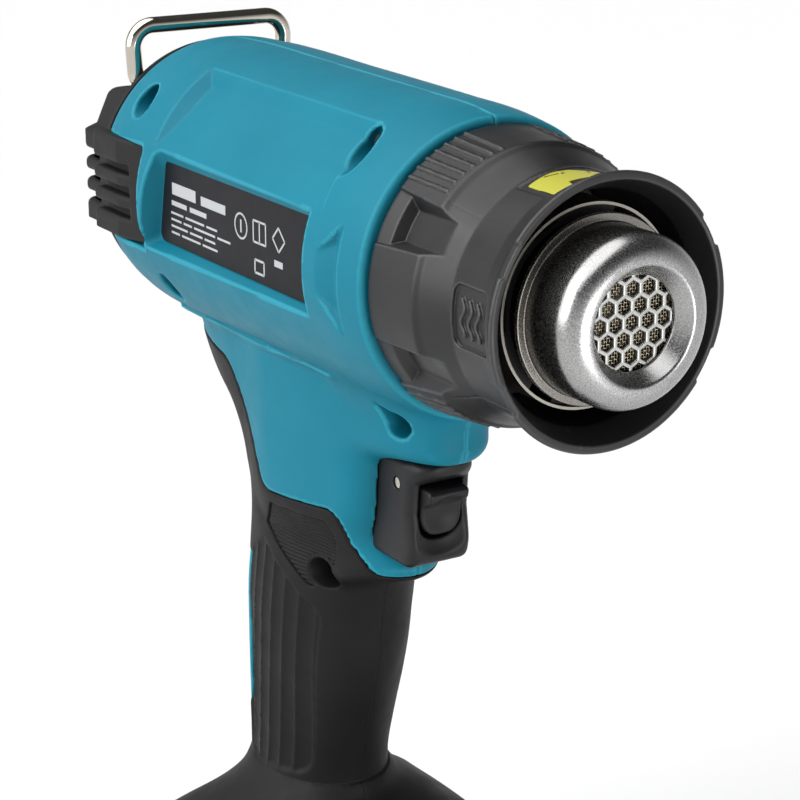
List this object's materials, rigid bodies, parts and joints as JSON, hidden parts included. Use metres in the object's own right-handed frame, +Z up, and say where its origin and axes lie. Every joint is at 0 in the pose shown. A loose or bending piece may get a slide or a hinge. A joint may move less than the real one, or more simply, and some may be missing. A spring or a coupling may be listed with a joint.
{
  "type": "cordless heat gun",
  "caption": "Pistol-grip battery hot-air gun with a steel nozzle in a twist-off guard, a lock-off trigger, a fold-down hanging hook and a slide-off battery.",
  "frame": {"origin": "centre of the whole object's box, on the plane that the battery stands on", "axes": "+X towards the nozzle, +Y to the gun's left, +Z up"},
  "size_m": [0.1896, 0.075, 0.2552],
  "materials": {
    "teal_shell": "fine satin moulding texture",
    "grip_rubber": "matte elastomer",
    "screw_steel": "black oxide",
    "plate_black": "satin",
    "black_plastic": "satin",
    "filter_mesh": "open mesh",
    "dial_plastic": "satin",
    "steel_parts": "plain",
    "ferrite": "matte",
    "bronze": "plain",
    "inner_plastic": "plain",
    "shield_steel": "heat dulled",
    "nozzle_steel": "polished, heat tinted",
    "grille_steel": "satin",
    "ceramic": "matte",
    "heater_wire": "oxidised",
    "guard_plastic": "fine satin",
    "decal_yellow": "satin",
    "hook_chrome": "polished",
    "trigger_plastic": "fine satin",
    "spring_steel": "plain",
    "circuit_board": "solder mask",
    "heat_sink_metal": "plain",
    "terminal_plastic": "plain",
    "lead_insulation": "plain",
    "battery_plastic": "satin",
    "cell_wrap": "shrink wrap",
    "button_plastic": "satin",
    "gauge_lens": "gloss"
  },
  "bodies": {
    "gun": {"housing_right": "teal_shell", "housing_left": "teal_shell", "grip_right": "grip_rubber", "grip_left": "grip_rubber", "housing_screws": "screw_steel", "name_plate": "plate_black", "rear_cover": "black_plastic", "intake_filter": "filter_mesh", "potentiometer": "steel_parts", "motor_can": "steel_parts", "motor_magnets": "ferrite", "motor_bearings": "bronze", "motor_mount": "inner_plastic", "fan_shroud": "inner_plastic", "heat_shield": "shield_steel", "front_spacer": "shield_steel", "rear_spacer": "shield_steel", "nozzle": "nozzle_steel", "nozzle_grille": "grille_steel", "nozzle_mesh": "grille_steel", "mesh_retainer": "grille_steel", "mica_tube": "ceramic", "heater_core": "ceramic", "heater_coil": "heater_wire", "thermal_fuse": "steel_parts", "heater_terminals": "bronze", "guard_mount": "black_plastic", "trigger_spring": "spring_steel", "switch_block": "inner_plastic", "controller_board": "circuit_board", "heat_sink": "heat_sink_metal", "capacitor": "heat_sink_metal", "power_transistors": "inner_plastic", "terminal_block": "terminal_plastic", "terminal_blades": "bronze", "battery_leads": "lead_insulation", "heater_leads": "lead_insulation", "motor_leads": "lead_insulation"},
    "guard": {"guard": "guard_plastic", "guard_decal": "decal_yellow"},
    "hook": {"hook": "hook_chrome"},
    "trigger": {"trigger": "trigger_plastic", "lever_pin": "screw_steel", "switch_plunger": "trigger_plastic", "lever_spring": "spring_steel"},
    "lock_lever": {"lock_lever": "trigger_plastic"},
    "fan": {"motor_rotor": "steel_parts", "fan": "inner_plastic"},
    "dial": {"temperature_dial": "dial_plastic"},
    "battery": {"battery_tub": "battery_plastic", "battery_top": "battery_plastic", "battery_cells": "cell_wrap", "battery_board": "circuit_board", "battery_contacts": "bronze", "battery_screws": "screw_steel", "battery_gauge": "gauge_lens", "battery_button_spring": "spring_steel"},
    "battery_button": {"battery_button": "button_plastic"}
  },
  "joints": [
    {"name": "guard_twist", "type": "hinge", "parent": "gun", "child": "guard", "pos_m": [0.05125, 0, 0.218], "axis": [1, 0, 0], "range_deg": [0, 20]},
    {"name": "hook_fold", "type": "hinge", "parent": "gun", "child": "hook", "pos_m": [-0.07625, 0, 0.24], "axis": [0, -1, 0], "range_deg": [0, 80]},
    {"name": "trigger_pull", "type": "slide", "parent": "gun", "child": "trigger", "axis": [-1, 0, 0], "range_m": [0, 0.005], "stiffness_N_per_m": 500, "springref_m": -0.004, "deforming": ["trigger_spring"]},
    {"name": "lever_press", "type": "hinge", "parent": "trigger", "child": "lock_lever", "pos_m": [0.02145, 0, 0.1672], "axis": [0, 1, 0], "range_deg": [0, 10], "stiffness_Nm_per_rad": 0.004, "springref_deg": -8.59, "deforming": ["lever_spring"]},
    {"name": "fan_spin", "type": "hinge", "parent": "gun", "child": "fan", "pos_m": [-0.02675, 0, 0.218], "axis": [1, 0, 0], "continuous": true},
    {"name": "dial_turn", "type": "hinge", "parent": "gun", "child": "dial", "pos_m": [-0.08925, 0, 0.218], "axis": [-1, 0, 0], "range_deg": [0, 270]},
    {"name": "battery_slide", "type": "slide", "parent": "gun", "child": "battery", "axis": [1, 0, 0], "range_m": [0, 0.09]},
    {"name": "button_press", "type": "slide", "parent": "battery", "child": "battery_button", "axis": [0, 0, -1], "range_m": [0, 0.0027], "stiffness_N_per_m": 400, "springref_m": -0.0015, "deforming": ["battery_button_spring"]}
  ]
}
